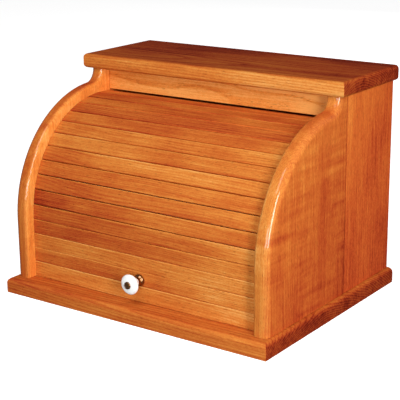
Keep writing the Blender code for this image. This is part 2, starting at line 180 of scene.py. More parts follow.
def on_arc(radius, degrees, centre=ARC):
    """The (y, z) of a point on a circle about centre; 0 degrees is its front and 90 degrees its top."""
    angle = math.radians(degrees)
    return centre.y - radius * math.cos(angle), centre.z + radius * math.sin(angle)


def arc_points(radius, start, end, steps, centre=ARC):
    turn = (end - start) / steps
    return [on_arc(radius, start + turn * i, centre) for i in range(steps + 1)]


def smooth_line(points, steps=6):
    """A Catmull-Rom curve through the points, as a denser list."""
    line = []
    padded = [points[0], *points, points[-1]]
    for a, b, c, d in zip(padded, padded[1:], padded[2:], padded[3:]):
        for i in range(steps):
            t = i / steps
            point = []
            for p, q, r, s in zip(a, b, c, d):
                bend, twist = 2 * p - 5 * q + 4 * r - s, 3 * q - p - 3 * r + s
                point.append(0.5 * (2 * q + (r - p) * t + bend * t**2 + twist * t**3))
            line.append(tuple(point))
    return line + [tuple(points[-1])]


def turned(profile, base, axis, sides=64, closed=False):
    """Turns (distance from base, radius) points round the axis. closed joins the last to the first."""
    axis = Vector(axis).normalized()
    across = axis.orthogonal().normalized()
    mesh = bmesh.new()
    rings = []
    for along, radius in profile:
        centre = Vector(base) + axis * along
        if radius == 0:
            rings.append([mesh.verts.new(centre)])
            continue
        spokes = [Matrix.Rotation(math.tau * i / sides, 3, axis) @ across for i in range(sides)]
        rings.append([mesh.verts.new(centre + spoke * radius) for spoke in spokes])
    pairs = list(zip(rings, rings[1:]))
    if closed:
        pairs.append((rings[-1], rings[0]))
    for first, second in pairs:
        for i in range(sides):
            j = (i + 1) % sides
            corners = [first[i % len(first)], first[j % len(first)]]
            corners += [second[j % len(second)], second[i % len(second)]]
            mesh.faces.new(list(dict.fromkeys(corners)))
    if not closed:
        for ring in (rings[0], rings[-1]):
            if len(ring) > 1:
                mesh.faces.new(ring)
    bmesh.ops.recalc_face_normals(mesh, faces=mesh.faces)
    return mesh


def make_piece(name, mesh):
    data = bpy.data.meshes.new(name)
    mesh.to_mesh(data)
    mesh.free()
    piece = bpy.data.objects.new(name, data)
    bpy.context.scene.collection.objects.link(piece)
    return piece


def carve(piece, mesh, operation="DIFFERENCE"):
    """Cuts a bmesh from the piece, or joins it on, and leaves plain mesh data."""
    cutter = make_piece("cutter", mesh)
    boolean = piece.modifiers.new("carve", "BOOLEAN")
    boolean.operation = operation
    boolean.solver = "EXACT"
    boolean.object = cutter
    graph = bpy.context.evaluated_depsgraph_get()
    done = bpy.data.meshes.new_from_object(piece.evaluated_get(graph))
    piece.modifiers.clear()
    piece.data = done
    bpy.data.objects.remove(cutter)
    return piece


def finish_piece(piece, material, body, nodes, sharp=32):
    """Gives a piece its shading, material, slot and body, and hides the CAD nodes that it stands for.

    Edges over sharp degrees stay hard. Rounding can put a point some microns past the CAD's box, so each
    point is held inside it.
    """
    for vertex in piece.data.vertices:
        vertex.co = [min(max(value, low), high) for value, low, high in zip(vertex.co, *CAD_BOX)]
    piece.data.materials.clear()
    piece.data.materials.append(material)
    piece.data.shade_smooth()
    piece.data.set_sharp_from_angle(angle=math.radians(sharp))
    even = piece.modifiers.new("even_normals", "WEIGHTED_NORMAL")
    even.keep_sharp = True
    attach(piece, body)
    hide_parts(*nodes)


def set_grain(piece, along, across, cut, middle=None):
    """Stores where each point lies in the log: along the grain, and across it from the pith.

    cut is how far the board's middle lies from the pith, across the board and through it: far through and
    near across is a flat-sawn board with arched figure, and the other way round is quarter-sawn.
    """
    chance = random.Random(piece.name)
    shift = Vector((chance.uniform(0, 6), cut[0], cut[1]))
    basis = Matrix((along, across, along.cross(across)))
    points = [vertex.co for vertex in piece.data.vertices]
    if middle is None:
        low = Vector([min(point[i] for point in points) for i in range(3)])
        high = Vector([max(point[i] for point in points) for i in range(3)])
        middle = (low + high) / 2
    attribute = piece.data.attributes.new("grain", "FLOAT_VECTOR", "POINT")
    for vertex, item in zip(piece.data.vertices, attribute.data):
        item.vector = basis @ (vertex.co - middle) + shift


def set_polish(piece):
    """Stores 1 half way round a side board's rounded edges and 0 on its flat faces."""
    attribute = piece.data.attributes.new("polish", "FLOAT", "FACE")
    for face, item in zip(piece.data.polygons, attribute.data):
        square = face.normal.x**2
        item.value = 4 * square * (1 - square)


def set_tone_and_painted_light(
    piece,
    plain,
    up=0.0,
    ends=0.0,
    along=X_AXIS,
    slope=(0, 0, 0),
    front=0.0,
    inner=0.0,
    shade=1.0,
    shade_up=1.0,
    shade_front=1.0,
):
    """Stores a tone, partly the stain and partly painted light and shade, and a factor on the colour.

    plain is the tone everywhere, and ends adds the darker stain of end grain. up adds painted shade on
    faces that look up, and slope, per metre, paints light falling off across the box; on faces that look
    up, slope's x part does nothing. front is added on faces that look to the front, and inner on those that
    look to the box's middle, as painted light. shade is a factor on the colour, partly the wood's own
    brightness and partly painted light, and shade_up and shade_front are further factors of painted light
    on faces that look up and to the front.
    """
    tones = piece.data.attributes.new("tone", "FLOAT", "CORNER")
    shades = piece.data.attributes.new("shade", "FLOAT", "FACE")
    slope = Vector(slope)
    for face, item in zip(piece.data.polygons, shades.data):
        normal = face.normal
        rise = max(0.0, normal.z) ** 3
        forward = max(0.0, -normal.y)
        inward = max(0.0, -normal.x * math.copysign(1.0, face.center.x))
        item.value = shade * (1 + (shade_up - 1) * rise) * (1 + (shade_front - 1) * forward)
        value = plain + up * rise + ends * abs(normal.dot(along)) ** 2 + front * forward + inner * inward
        for loop in face.loop_indices:
            place = piece.data.vertices[piece.data.loops[loop].vertex_index].co - BOX_MIDDLE
            place.x *= 1 - rise
            tones.data[loop].value = min(value + slope.dot(place), DARKEST)


def paint_seam_light_and_shade(piece, middle, upward, width, lower):
    """Adds lower, a painted shade, to the tone of a slat's lower long edge, and a painted highlight to that
    of its upper one.

    Each change takes an eighth of the width. The narrow faces, which look into the seams and lie in shade,
    are painted paler.
    """
    for face, item in zip(piece.data.polygons, piece.data.attributes["shade"].data):
        item.value *= SEAM_PAINTED_LIGHT if abs(face.normal.dot(upward)) > 0.8 else 1.0
    tones = piece.data.attributes["tone"].data
    for item, loop in zip(tones, piece.data.loops):
        height = (piece.data.vertices[loop.vertex_index].co - middle).dot(upward) * 2 / width
        near = max(0.0, (abs(height) - 0.75) * 4)
        item.value += near * (SEAM_PAINTED_HIGHLIGHT if height > 0 else lower)


# ---------------------------------------------------------------- materials


class Nodes:
    """A material's node tree, with a short call for each kind of node used below."""

    def __init__(self, name):
        self.material = bpy.data.materials.new(name)
        self.material.use_nodes = True
        self.tree = self.material.node_tree
        self.shader = self.tree.nodes["Principled BSDF"]

    def add(self, kind, values, **settings):
        node = self.tree.nodes.new(kind)
        for key, value in settings.items():
            setattr(node, key, value)
        for key, value in values.items():
            self.feed(node.inputs[key], value)
        return node

    def feed(self, socket, value):
        if isinstance(value, bpy.types.NodeSocket):
            self.tree.links.new(value, socket)
        else:
            socket.default_value = value

    def attribute(self, name, output):
        return self.add("ShaderNodeAttribute", {}, attribute_name=name).outputs[output]

    def number(self, operation, a, b=0.0, c=0.0):
        return self.add("ShaderNodeMath", {0: a, 1: b, 2: c}, operation=operation).outputs[0]

    def vector(self, operation, a, b=(0, 0, 0)):
        node = self.add("ShaderNodeVectorMath", {0: a, 1: b}, operation=operation)
        return node.outputs["Value" if operation == "LENGTH" else "Vector"]

    def noise(self, place, scale, detail=2.0, rough=0.5, output="Fac"):
        """Noise whose waves per metre along the three directions are given by scale."""
        spread = self.vector("MULTIPLY", place, scale)
        values = {"Vector": spread, "Scale": 1.0, "Detail": detail, "Roughness": rough}
        return self.add("ShaderNodeTexNoise", values).outputs[output]

    def fit(self, value, low, high, to_low=0.0, to_high=1.0):
        """The value eased from low..high to to_low..to_high, and held at the ends."""
        values = {0: value, 1: low, 2: high, 3: to_low, 4: to_high}
        node = self.add("ShaderNodeMapRange", values, interpolation_type="SMOOTHSTEP", clamp=True)
        return node.outputs[0]

    def ramp(self, value, stops):
        """A colour by value, from (value, sRGB colour) stops."""
        node = self.add("ShaderNodeValToRGB", {"Fac": value})
        elements = node.color_ramp.elements
        elements[0].position, elements[0].color = stops[0][0], (*linear(stops[0][1]), 1)
        elements[1].position, elements[1].color = stops[-1][0], (*linear(stops[-1][1]), 1)
        for place, colour in stops[1:-1]:
            elements.new(place).color = (*linear(colour), 1)
        return node.outputs["Color"]

    def mix(self, amount, a, b):
        node = self.add("ShaderNodeMix", {}, data_type="RGBA", blend_type="MIX", clamp_result=False)
        self.feed(node.inputs[0], amount)
        for socket, value in ((node.inputs[6], a), (node.inputs[7], b)):
            self.feed(socket, value if isinstance(value, bpy.types.NodeSocket) else (*linear(value), 1))
        return node.outputs[2]

    def bump(self, height, distance, strength=1.0):
        values = {"Height": height, "Distance": distance, "Strength": strength}
        self.feed(self.shader.inputs["Normal"], self.add("ShaderNodeBump", values).outputs["Normal"])

    def finish(self, colour, roughness, **constants):
        """Feeds the shader, sets the sockets that are uniform over the surface, and gives the material."""
        self.feed(self.shader.inputs["Base Color"], colour)
        self.feed(self.shader.inputs["Roughness"], roughness)
        for key, value in constants.items():
            self.shader.inputs[key.replace("_", " ")].default_value = value
        return self.material


def linear(colour):
    """An sRGB colour in 0 to 255 as linear light."""
    parts = [value / 255 for value in colour]
    return tuple(part / 12.92 if part <= 0.04045 else ((part + 0.055) / 1.055) ** 2.4 for part in parts)


OAK_STOPS = (
    (0.00, (244, 172, 92)),
    (0.22, (228, 140, 61)),
    (0.45, (207, 107, 44)),
    (0.68, (184, 75, 34)),
    (0.85, (144, 44, 23)),
    (1.00, (94, 26, 15)),
)
OAK_PORE = (92, 30, 15)


def growth_rings(n, grain, waves, wander, taper, rate, early):
    """The place in the log once its rings wander, and 1 where a ring begins, down to 0 where it is dense.

    waves is the wander's waves per metre along and across the log, wander its size in metres, taper how
    fast the trunk narrows, rate the rings per metre, and early how much of a ring is not yet dense.
    """
    drift = n.noise(grain, (waves[0], waves[1], waves[1]), 2.0, 0.5, "Color")
    drift = n.vector("MULTIPLY", n.vector("SUBTRACT", drift, (0.5, 0.5, 0.5)), (0.0, wander, wander))
    place = n.vector("ADD", grain, drift)
    radius = n.vector("LENGTH", n.vector("MULTIPLY", place, (0.0, 1.0, 1.0)))
    narrowed = n.vector("LENGTH", n.vector("MULTIPLY", grain, (taper, 0.0, 0.0)))
    fraction = n.number("FRACT", n.number("MULTIPLY", n.number("ADD", radius, narrowed), rate))
    return place, n.number("SUBTRACT", n.fit(fraction, 0.9, 1.0), n.fit(fraction, 0.0, early, -1.0, 0.0))


def curly_figure(n, grain):
    """Ripples across the grain, in patches."""
    wave = n.noise(grain, (105.0, 13.0, 13.0), 2.0, 0.5)
    patch = n.fit(n.noise(grain, (7.0, 11.0, 11.0), 1.0, 0.5), 0.42, 0.6)
    return n.number("MULTIPLY", n.number("SUBTRACT", wave, 0.5), patch)


def glue_line(n, joint):
    """0.4 on the plane y = joint, and 0 from 1.1 mm off."""
    spot = n.add("ShaderNodeTexCoord", {}).outputs["Object"]
    depth_y = n.add("ShaderNodeSeparateXYZ", {0: spot}).outputs["Y"]
    away = n.number("ABSOLUTE", n.number("SUBTRACT", depth_y, joint))
    return n.fit(away, 0.0, 0.0011, 0.4, 0.0)


def oak(
    name,
    ring_width,
    ring=0.16,
    streaks=0.5,
    bands=0.3,
    clouds=0.45,
    pores=1300.0,
    curl=0.0,
    joint=None,
    gloss=0.05,
):
    """Stained, varnished red oak: rings about the pith, long streaks, and pores where each ring begins.

    ring, streaks, bands, clouds and curl are how much each adds to the tone. ring_width is in metres, and
    pores in waves per metre across the grain. joint is the y of a glue line, and gloss the clear coat on
    the flat faces.
    """
    n = Nodes(name)
    grain = n.attribute("grain", "Vector")
    place, early = growth_rings(n, grain, (4.0, 12.0), 0.012, 0.02, 1.0 / ring_width, 0.5)
    fibre = n.noise(grain, (26.0, 1600.0, 1600.0), 2.0, 0.6)
    pore = n.fit(n.noise(grain, (150.0, pores, pores), 1.0, 0.5), 0.60, 0.70)
    pore = n.number("MULTIPLY", pore, n.fit(early, 0.0, 1.0, 0.35, 1.0))
    # the tone attribute carries the stain together with painted light and shade
    depth = n.number("MULTIPLY_ADD", n.number("SUBTRACT", early, 0.45), ring, n.attribute("tone", "Fac"))
    figure = (
        (n.noise(place, (3.0, 90.0, 90.0), 2.0, 0.5), bands),
        (n.noise(place, (9.0, 420.0, 420.0), 3.0, 0.6), streaks),
        (fibre, 0.3),
        (n.noise(grain, (7.0, 15.0, 15.0), 2.0, 0.55), clouds),
        (n.noise(grain, (120.0, 260.0, 260.0), 2.0, 0.5), 0.2),
        (n.noise(grain, (420.0, 1100.0, 1100.0), 1.0, 0.5), 0.3),
    )
    for value, weight in figure:
        depth = n.number("MULTIPLY_ADD", n.number("SUBTRACT", value, 0.5), weight, depth)
    if curl:
        depth = n.number("MULTIPLY_ADD", curly_figure(n, grain), curl, depth)
    if joint is not None:
        depth = n.number("ADD", depth, glue_line(n, joint))
    colour = n.ramp(depth, OAK_STOPS)
    colour = n.mix(n.number("MULTIPLY", pore, 0.5), colour, OAK_PORE)
    # the shade attribute is a factor that paints light and shade onto the colour
    colour = n.vector("MULTIPLY", colour, n.attribute("shade", "Fac"))
    height = n.number("MULTIPLY_ADD", pore, -1.0, n.number("MULTIPLY", fibre, 0.35))
    n.bump(height, 0.00008, 0.5)
    roughness = n.number("MULTIPLY_ADD", fibre, 0.14, n.number("MULTIPLY_ADD", pore, 0.2, 0.36))
    coat = n.number("MULTIPLY_ADD", n.attribute("polish", "Fac"), 0.95, gloss)
    n.feed(n.shader.inputs["Coat Weight"], coat)
    return n.finish(colour, roughness, Coat_Roughness=0.08, Specular_IOR_Level=0.0)


def plywood(name):
    """The back panel's stained veneer, with wide arched figure."""
    n = Nodes(name)
    grain = n.attribute("grain", "Vector")
    _, band = growth_rings(n, grain, (2.0, 7.0), 0.05, 0.05, 160.0, 0.6)
    streak = n.noise(grain, (9.0, 420.0, 420.0), 3.0, 0.6)
    pore = n.fit(n.noise(grain, (120.0, 2600.0, 2600.0), 1.0, 0.5), 0.57, 0.66)
    depth = n.number("MULTIPLY_ADD", band, 0.22, n.number("MULTIPLY_ADD", streak, 0.6, 0.02))
    colour = n.ramp(depth, ((0.0, (226, 170, 108)), (0.5, (196, 126, 66)), (1.0, (138, 74, 34))))
    colour = n.mix(n.number("MULTIPLY", pore, 0.4), colour, (82, 40, 20))
    n.bump(n.number("MULTIPLY_ADD", pore, -1.0, streak), 0.00006, 0.4)
    roughness = n.number("MULTIPLY_ADD", streak, 0.2, 0.42)
    return n.finish(colour, roughness, Coat_Weight=0.15, Coat_Roughness=0.3)


def bare_wood(name):
    """The dowels' pale unstained hardwood."""
    n = Nodes(name)
    grain = n.attribute("grain", "Vector")
    streak = n.noise(grain, (14.0, 900.0, 900.0), 3.0, 0.6)
    colour = n.ramp(streak, ((0.2, (228, 196, 148)), (0.8, (188, 146, 96))))
    n.bump(streak, 0.00005, 0.5)
    return n.finish(colour, n.number("MULTIPLY_ADD", streak, 0.2, 0.5))


def porcelain(name):
    """White glaze with a faint cloud and a few specks."""
    n = Nodes(name)
    place = n.add("ShaderNodeTexCoord", {}).outputs["Object"]
    cloud = n.noise(place, (60.0, 60.0, 60.0), 3.0, 0.5)
    speck = n.fit(n.noise(place, (900.0, 900.0, 900.0), 1.0, 0.5), 0.70, 0.76)
    colour = n.ramp(cloud, ((0.2, (243, 243, 240)), (0.8, (250, 250, 249))))
    colour = n.mix(n.number("MULTIPLY", speck, 0.12), colour, (205, 200, 190))
    n.bump(cloud, 0.0001, 0.3)
    roughness = n.number("MULTIPLY_ADD", cloud, 0.05, 0.05)
    return n.finish(colour, roughness, Coat_Weight=0.6, Coat_Roughness=0.04)


def brass(name):
    """Lacquered brass with brown patina and fine scratches."""
    n = Nodes(name)
    place = n.add("ShaderNodeTexCoord", {}).outputs["Object"]
    patina = n.noise(place, (160.0, 160.0, 160.0), 3.0, 0.6)
    scratch = n.noise(place, (4000.0, 300.0, 4000.0), 2.0, 0.6)
    colour = n.ramp(patina, ((0.3, (164, 112, 60)), (0.5, (130, 86, 44)), (0.75, (92, 56, 28))))
    n.bump(scratch, 0.00002, 0.4)
    roughness = n.number("MULTIPLY_ADD", patina, 0.3, 0.2)
    return n.finish(colour, roughness, Metallic=1.0, Coat_Weight=0.7, Coat_Roughness=0.06)


def zinc_steel(name):
    """Screws' yellow-grey plating."""
    n = Nodes(name)
    place = n.add("ShaderNodeTexCoord", {}).outputs["Object"]
    patina = n.noise(place, (500.0, 500.0, 500.0), 3.0, 0.6)
    colour = n.ramp(patina, ((0.3, (206, 198, 170)), (0.7, (160, 152, 128))))
    n.bump(patina, 0.00002, 0.4)
    return n.finish(colour, n.number("MULTIPLY_ADD", patina, 0.3, 0.2), Metallic=1.0)


def canvas(name):
    """Unbleached plain-weave cloth: two crossed sets of threads, one over and one under by turns."""
    n = Nodes(name)
    grain = n.attribute("grain", "Vector")
    spread = n.vector("MULTIPLY", grain, (4200.0, 4200.0, 0.0))
    threads = n.add("ShaderNodeSeparateXYZ", {0: spread}).outputs
    warp = n.number("SINE", threads[0])
    weft = n.number("SINE", threads[1])
    turns = [n.number("SINE", n.number("MULTIPLY", threads[axis], 0.5)) for axis in (0, 1)]
    over = n.number("MULTIPLY", *turns)
    weave = n.number("ADD", n.number("MAXIMUM", warp, weft), over)
    slub = n.noise(grain, (30.0, 900.0, 900.0), 3.0, 0.6)
    value = n.number("MULTIPLY_ADD", weave, 0.16, slub)
    colour = n.ramp(value, ((0.2, (142, 118, 82)), (0.6, (196, 174, 132)), (1.0, (218, 200, 162))))
    n.bump(weave, 0.00015, 0.6)
    roughness = n.number("MULTIPLY_ADD", slub, 0.1, 0.82)
    return n.finish(colour, roughness, Sheen_Weight=0.2, Sheen_Roughness=0.5)


# ---------------------------------------------------------------- carcass


SIDE_LOW, SIDE_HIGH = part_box("side_right_front_board")
REAR_LOW, REAR_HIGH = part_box("side_right_rear_board")
BASE_LOW, BASE_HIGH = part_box("base_board")
TOP_LOW, TOP_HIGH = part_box("top_board")
RAIL_LOW, RAIL_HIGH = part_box("front_rail")
PANEL_LOW, PANEL_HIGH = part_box("back_panel")
JOINT_Y = (SIDE_HIGH.y + REAR_LOW.y) / 2


def screw_hole(head, axis, depth, radius, head_radius):
    """A countersunk hole from just outside the surface where the screw's head lies."""
    start = Vector(head) - Vector(axis) * BITE
    cone = head_radius - radius
    profile = [(0, head_radius), (0.0015, head_radius), (0.0015 + cone, radius), (depth, radius)]
    return turned(profile, start, axis, 32)


def drilled(start, axis, radius, length):
    """A cutter for a plain round hole."""
    return turned([(0, radius), (length, radius)], start, axis, 24)


def screw_heads(prefix, low_side):
    """For each screw node, its name and the middle of its box, at its lowest or highest y or z."""
    found = []
    for name in sorted(frame["nodes"]):
        if name.startswith(prefix):
            low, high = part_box(name)
            middle = (low + high) / 2
            if low_side:
                middle.z = low.z
            else:
                middle.y = high.y
            found.append((name, middle))
    return found


BASE_SCREWS = screw_heads("base_screw", True)
BACK_SCREWS = screw_heads("back_screw", False)


def pilot_places(sign, front):
    """Where the base's screws enter one side's front or rear board."""
    places = []
    for _, head in BASE_SCREWS:
        if head.x * sign > 0 and (head.y < SIDE_HIGH.y) == front:
            places.append((head.x, head.y))
    return places


def drill_pilots(piece, sign, front):
    """Holes for the base's screws, up from the lower end of a side board."""
    for x, y in pilot_places(sign, front):
        carve(piece, drilled((x, y, SIDE_LOW.z - BITE), Z_AXIS, BASE_SCREW_HOLE, BASE_PILOT_DEEP))


def drill_back_pilot(piece, head, back):
    """A hole for one of the back panel's screws; back is the y of the board's rear face."""
    start = Vector((head.x, back + BITE, head.z))
    carve(piece, drilled(start, -Y_AXIS, BACK_SCREW_HOLE, BACK_PILOT_DEEP))


def dowel(kind, index):
    """A dowel's box and the middle of it."""
    low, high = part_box(f"{kind}_dowel_{index}")
    return low, high, (low + high) / 2


def make_base(material):
    mesh = block(BASE_LOW, BASE_HIGH)

    def upper_edge(a, b):
        on_top = min(a.z, b.z) > BASE_HIGH.z - TINY
        return on_top and min(a.y, b.y) < BASE_HIGH.y - TINY

    round_edges(mesh, upper_edge, BASE_ROUND, 7)
    ease_edges(mesh)
    piece = make_piece("oak_base", mesh)
    for _, head in BASE_SCREWS:
        spot = Vector((head.x, head.y, BASE_LOW.z))
        carve(piece, screw_hole(spot, Z_AXIS, BASE_HIGH.z + 3 * BITE, BASE_SCREW_HOLE, BASE_SCREW_SEAT))
    set_grain(piece, X_AXIS, Y_AXIS, (0.02, 0.20))
    # painted light: lighter towards the right, and the top face painted brighter; ends is the end grain's
    # darker stain
    set_tone_and_painted_light(piece, 0.47, up=0.02, ends=0.46, slope=(-0.2, 0, 0), shade=0.79, shade_up=1.13)
    finish_piece(piece, material, "carcass", ["base_board"])


def make_top(material):
    mesh = block(TOP_LOW, TOP_HIGH)

    def shown_edge(a, b):
        level = abs(a.z - b.z) < TINY
        return level and min(a.y, b.y) < TOP_HIGH.y - TINY

    round_edges(mesh, shown_edge, TOP_ROUND, 7)
    ease_edges(mesh)
    piece = make_piece("oak_top", mesh)
    for _, head in BACK_SCREWS[-TOP_BACK_SCREWS:]:
        drill_back_pilot(piece, head, TOP_HIGH.y)
    for index in DOWELS:
        _, high, start = dowel("top", index)
        start.z = TOP_LOW.z - BITE
        carve(piece, drilled(start, Z_AXIS, TOP_DOWEL_HOLE, high.z + CLEARANCE - start.z))
    set_grain(piece, X_AXIS, Y_AXIS, (0.03, 0.08))
    # painted shade: the top face darker and redder, more so towards the back; painted light on the edges
    # towards the right
    set_tone_and_painted_light(piece, 0.20, up=0.32, ends=0.58, slope=(-0.5, 4.2, 0), shade=0.79, shade_up=0.92)
    finish_piece(piece, material, "carcass", ["top_board"])


def make_rail(material):
    piece = make_piece("oak_rail", ease_edges(block(RAIL_LOW, RAIL_HIGH), 0.0011))
    for index in DOWELS:
        low, high, start = dowel("rail", index)
        side = math.copysign(1, start.x)
        start.x = (low.x if side > 0 else high.x) - side * CLEARANCE
        carve(piece, drilled(start, X_AXIS * side, RAIL_DOWEL_HOLE, DOWEL_HOLE_DEEP))
    set_grain(piece, X_AXIS, Z_AXIS, (0.012, 0.05))
    # painted light: lighter towards the right
    set_tone_and_painted_light(piece, 0.14, slope=(-0.7, 0, 0), shade=0.95)
    finish_piece(piece, material, "carcass", ["front_rail"])


def side_outline():
    """The front board's outline (y, z) and the run of it that is rounded."""
    front, bottom, top = SIDE_LOW.y, SIDE_LOW.z, SIDE_HIGH.z
    centre = Vector((0, front + SIDE_ARC_RADIUS, SIDE_ARC_Z))
    end = math.degrees(math.acos((SIDE_ARC_RADIUS - SHOULDER_DEEP) / SIDE_ARC_RADIUS))
    points = [(front, bottom)] + arc_points(SIDE_ARC_RADIUS, 0, end, SIDE_ARC_STEPS, centre)
    shoulder_z = points[-1][1]
    small = NECK_DEEP - SHOULDER_DEEP
    for i in range(1, SHOULDER_STEPS + 1):
        angle = math.radians(90 * i / SHOULDER_STEPS)
        across, up = small * math.sin(angle), small * (1 - math.cos(angle))
        points.append((front + SHOULDER_DEEP + across, shoulder_z + up))
    points.append((front + NECK_DEEP, top))
    return points + [(SIDE_HIGH.y, top), (SIDE_HIGH.y, bottom)], list(points)


def groove(sign):
    """The tambour's track in one side: the upright leg, and the arc that goes on down behind."""
    outer = arc_points(GROOVE_OUTER, 0, GROOVE_END_DEG, GROOVE_STEPS)
    inner = arc_points(GROOVE_INNER, 0, GROOVE_END_DEG, GROOVE_STEPS)
    below = SIDE_LOW.z - 2 * BITE
    outline = [(outer[0][0], below)] + outer + inner[::-1] + [(inner[0][0], below)]
    near, far = sorted((sign * (SIDE_LOW.x - 2 * BITE), sign * (SIDE_LOW.x + GROOVE_DEEP)))
    return prism(outline, 0, near, far)


# Painted light on the narrow front faces: a paler tone for their sheen, and a factor that sets how bright
# they are lit
SIDE_FRONT_PAINTED_LIGHT = {
    "left": {"front": -0.08, "shade_front": 0.75},
    "right": {"front": -0.28, "shade_front": 0.69},
}


def make_side_front(name, sign, material):
    """The front board of a side panel, with its rounded run from the base up to the top board."""
    outline, rounded = side_outline()
    inner_x, outer_x = sign * SIDE_LOW.x, sign * SIDE_HIGH.x
    mesh = prism(outline, 0, min(inner_x, outer_x), max(inner_x, outer_x))

    def on_run(point):
        return any(abs(point.y - y) < TINY and abs(point.z - z) < TINY for y, z in rounded)

    def edge_at(x):
        def chosen(a, b):
            return abs(a.x - x) < TINY and abs(b.x - x) < TINY and on_run(a) and on_run(b)

        return chosen

    round_edges(mesh, edge_at(outer_x), SIDE_ROUND_OUT)
    round_edges(mesh, edge_at(inner_x), SIDE_ROUND_IN)
    piece = make_piece(f"oak_side_{name}_front", mesh)
    carve(piece, groove(sign))
    drill_pilots(piece, sign, True)
    set_grain(piece, Z_AXIS, Y_AXIS, (0.07, 0.06))
    set_polish(piece)
    # painted shade darker towards the back and the bottom, and painted light on the inner faces; ends is
    # the end grain's darker stain
    looks = {"ends": 0.15, "along": Z_AXIS, "slope": (0, 0.9, -1.2), "inner": -0.25, "shade": 1.04}
    set_tone_and_painted_light(piece, 0.58, **looks, **SIDE_FRONT_PAINTED_LIGHT[name])
    finish_piece(piece, material, "carcass", [f"side_{name}_front_board"])


def make_side_rear(name, sign, material):
    """The upright rear board of a side panel, glued behind the front one."""
    inner_x, outer_x = sign * SIDE_LOW.x, sign * SIDE_HIGH.x
    low = Vector((min(inner_x, outer_x), REAR_LOW.y, REAR_LOW.z))
    high = Vector((max(inner_x, outer_x), REAR_HIGH.y, REAR_HIGH.z))
    piece = make_piece(f"oak_side_{name}_rear", ease_edges(block(low, high), 0.0004, 2))
    carve(piece, groove(sign))
    drill_pilots(piece, sign, False)
    for index in DOWELS:
        low, _, start = dowel("top", index)
        if start.x * sign > 0:
            start.z = low.z - CLEARANCE
            carve(piece, drilled(start, Z_AXIS, TOP_DOWEL_HOLE, DOWEL_HOLE_DEEP))
        low, high, start = dowel("rail", index)
        if start.x * sign > 0:
            start.x = (high.x if sign > 0 else low.x) + sign * CLEARANCE
            carve(piece, drilled(start, X_AXIS * -sign, RAIL_DOWEL_HOLE, DOWEL_HOLE_DEEP))
    for _, head in BACK_SCREWS[:-TOP_BACK_SCREWS]:
        if head.x * sign > 0:
            drill_back_pilot(piece, head, REAR_HIGH.y)
    set_grain(piece, Z_AXIS, Y_AXIS, (0.14, 0.03))
    # painted shade darker towards the back and the bottom, and a factor that paints the rear boards
    # brighter
    set_tone_and_painted_light(piece, 0.52, ends=0.15, along=Z_AXIS, slope=(0, 1.5, -1.0), shade=1.2)
    finish_piece(piece, material, "carcass", [f"side_{name}_rear_board"])


def make_back(material):
    piece = make_piece("veneered_back", ease_edges(block(PANEL_LOW, PANEL_HIGH), 0.0003, 2))
    for _, head in BACK_SCREWS:
        spot = Vector((head.x, PANEL_HIGH.y, head.z))
        carve(piece, screw_hole(spot, -Y_AXIS, 6 * BITE, BACK_SCREW_HOLE, BACK_SCREW_SEAT))
    set_grain(piece, X_AXIS, Z_AXIS, (0.02, 0.12))
    finish_piece(piece, material, "carcass", ["back_panel"])


def make_screw(name, head, axis, radius, shank, length):
    """A flat-headed screw with a cross recess; head is the middle of its head's face."""
    cone = radius - shank
    profile = [(0, 0), (0, radius * 0.96), (cone * 0.12, radius)]
    profile += [(cone, shank), (length - 2.2 * shank, shank), (length, 0.0002)]
    piece = make_piece(name, turned(profile, head, axis, 40))
    across = axis.orthogonal().normalized()
    long, narrow = radius * 0.62, radius * 0.12
    for turn in (0, 90):
        arm = Matrix.Rotation(math.radians(turn), 3, axis) @ across
        basis = Matrix((arm, axis.cross(arm), axis)).transposed()
        recess = block((-long, -narrow, -BITE), (long, narrow, cone * 0.8))
        bmesh.ops.transform(recess, matrix=Matrix.Translation(head) @ basis.to_4x4(), verts=recess.verts)
        carve(piece, recess)
    return piece


def make_screws(material):
    """The screws under the base and on the back panel. Each kind has head and shank radii and a length."""
    kinds = (
        (BASE_SCREWS, "base_wood_screw", Z_AXIS, 0.004, 0.002, 0.0435),
        (BACK_SCREWS, "back_wood_screw", -Y_AXIS, 0.0027, 0.0014, 0.014),
    )
    for screws, prefix, axis, radius, shank, length in kinds:
        for index, (node, head) in enumerate(screws, 1):
            piece = make_screw(f"{prefix}_{index}", head, axis, radius, shank, length)
            finish_piece(piece, material, "carcass", [node])


def make_dowels(material):
    """Dowels with chamfered ends, and with a flute at every third of their sides' corners."""
    sides = 36
    for kind, axis, radius in (("top", Z_AXIS, TOP_DOWEL_RADIUS), ("rail", X_AXIS, RAIL_DOWEL_RADIUS)):
        for index in DOWELS:
            low, high, centre = dowel(kind, index)
            length = (high - low).dot(axis)
            chamfer, tip = radius * 0.2, radius * 0.8
            profile = [(0, tip), (chamfer, radius), (length - chamfer, radius), (length, tip)]
            mesh = turned(profile, centre - axis * length / 2, axis, sides)
            for count, vertex in enumerate(mesh.verts):
                if count % sides % 3 == 0:
                    spoke = vertex.co - centre
                    spoke -= axis * spoke.dot(axis)
                    vertex.co -= spoke * FLUTE_DEEP
            piece = make_piece(f"fluted_{kind}_dowel_{index}", mesh)
            set_grain(piece, axis, axis.orthogonal().normalized(), (0.03, 0.05))
            finish_piece(piece, material, "carcass", [f"{kind}_dowel_{index}"])


# ---------------------------------------------------------------- tambour


